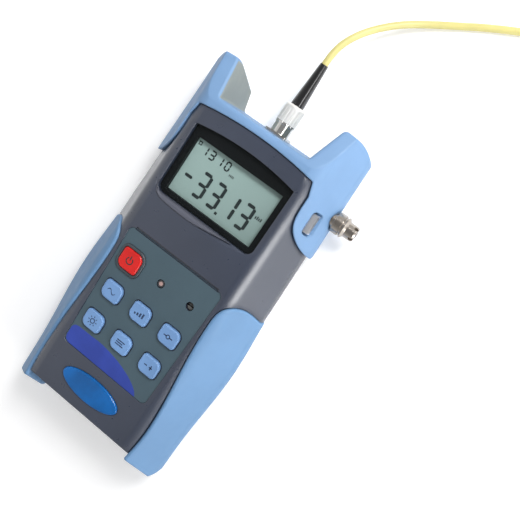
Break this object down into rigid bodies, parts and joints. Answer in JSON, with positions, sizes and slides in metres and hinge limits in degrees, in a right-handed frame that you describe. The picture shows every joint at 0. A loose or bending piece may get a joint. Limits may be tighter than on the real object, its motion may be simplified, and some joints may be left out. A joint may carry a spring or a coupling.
{
  "type": "handheld optical power meter",
  "caption": "Handheld optical power meter with display, rubber-edged housing, keypad, guard ears round its input port and a plugged-in fibre patch cord.",
  "frame": {"origin": "middle of the flat back face, which lies on the table", "axes": "+X to the meter's right, +Y along its length towards the optical port, +Z out of the display"},
  "size_m": [0.1379, 0.297, 0.0343],
  "materials": {
    "shell_grey": "satin, fine grained",
    "trim_blue": "satin",
    "lens_clear": "polished",
    "frame_black": "gloss",
    "lcd_grey_green": "satin",
    "label_grey_green": "satin",
    "key_blue": "satin",
    "key_red": "satin",
    "bezel_dark": "satin",
    "board_green": "satin",
    "rotor_white": "satin",
    "sensor_clear": "gloss",
    "badge_blue": "gloss",
    "cell_wrap": "gloss",
    "contact_steel": "satin",
    "screw_steel": "black oxide",
    "nickel": "satin nickel plate",
    "boot_black": "satin",
    "cord_yellow": "satin",
    "socket_steel": "satin",
    "tongue_black": "satin"
  },
  "bodies": {
    "meter": {"front_shell": "shell_grey", "back_shell": "shell_grey", "top_cap": "trim_blue", "right_grip": "trim_blue", "left_grip": "trim_blue", "display_lens": "lens_clear", "display_frame": "frame_black", "display_panel": "lcd_grey_green", "keypad_label": "label_grey_green", "power_bezel": "bezel_dark", "main_board": "board_green", "light_sensor": "sensor_clear", "badge": "badge_blue", "cell_1": "cell_wrap", "cell_2": "cell_wrap", "cell_3": "cell_wrap", "contact_strip": "contact_steel", "contact_springs": "contact_steel", "case_screw_1": "screw_steel", "case_screw_2": "screw_steel", "optical_port": "nickel", "detector": "contact_steel", "plug_body": "nickel", "plug_boot": "boot_black", "far_body": "nickel", "far_boot": "boot_black", "cord_free": "cord_yellow", "cord_coil": "cord_yellow", "cord_tail": "cord_yellow", "usb_socket": "socket_steel", "usb_tongue": "tongue_black", "side_port": "nickel"},
    "power_key": {"power_key": "key_red"},
    "key_1": {"key_1": "key_blue"},
    "key_2": {"key_2": "key_blue"},
    "key_3": {"key_3": "key_blue"},
    "key_4": {"key_4": "key_blue"},
    "key_5": {"key_5": "key_blue"},
    "key_6": {"key_6": "key_blue"},
    "trimmer": {"trimmer_rotor": "rotor_white"},
    "door": {"battery_door": "shell_grey"},
    "plug_ring": {"plug_nut": "nickel"},
    "far_ring": {"far_nut": "nickel"}
  },
  "joints": [
    {"name": "power_press", "type": "slide", "parent": "meter", "child": "power_key", "axis": [0, 0, -1], "range_m": [0, 0.0008], "stiffness_N_per_m": 1500, "springref_m": -0.0002},
    {"name": "key_1_press", "type": "slide", "parent": "meter", "child": "key_1", "axis": [0, 0, -1], "range_m": [0, 0.0008], "stiffness_N_per_m": 1500, "springref_m": -0.0002},
    {"name": "key_2_press", "type": "slide", "parent": "meter", "child": "key_2", "axis": [0, 0, -1], "range_m": [0, 0.0008], "stiffness_N_per_m": 1500, "springref_m": -0.0002},
    {"name": "key_3_press", "type": "slide", "parent": "meter", "child": "key_3", "axis": [0, 0, -1], "range_m": [0, 0.0008], "stiffness_N_per_m": 1500, "springref_m": -0.0002},
    {"name": "key_4_press", "type": "slide", "parent": "meter", "child": "key_4", "axis": [0, 0, -1], "range_m": [0, 0.0008], "stiffness_N_per_m": 1500, "springref_m": -0.0002},
    {"name": "key_5_press", "type": "slide", "parent": "meter", "child": "key_5", "axis": [0, 0, -1], "range_m": [0, 0.0008], "stiffness_N_per_m": 1500, "springref_m": -0.0002},
    {"name": "key_6_press", "type": "slide", "parent": "meter", "child": "key_6", "axis": [0, 0, -1], "range_m": [0, 0.0008], "stiffness_N_per_m": 1500, "springref_m": -0.0002},
    {"name": "trimmer_turn", "type": "hinge", "parent": "meter", "child": "trimmer", "pos_m": [0.0157, -0.0063, 0.028], "axis": [0, 0, 1], "range_deg": [-135, 135]},
    {"name": "door_slide", "type": "slide", "parent": "meter", "child": "door", "axis": [0, -1, 0], "range_m": [0, 0.01]},
    {"name": "plug_ring_turn", "type": "hinge", "parent": "meter", "child": "plug_ring", "pos_m": [0.001, 0.078, 0.014], "axis": [0, 1, 0], "continuous": true},
    {"name": "far_ring_turn", "type": "hinge", "parent": "meter", "child": "far_ring", "pos_m": [0.0284, 0.2052, 0.0045], "axis": [1, 0, 0], "continuous": true}
  ]
}
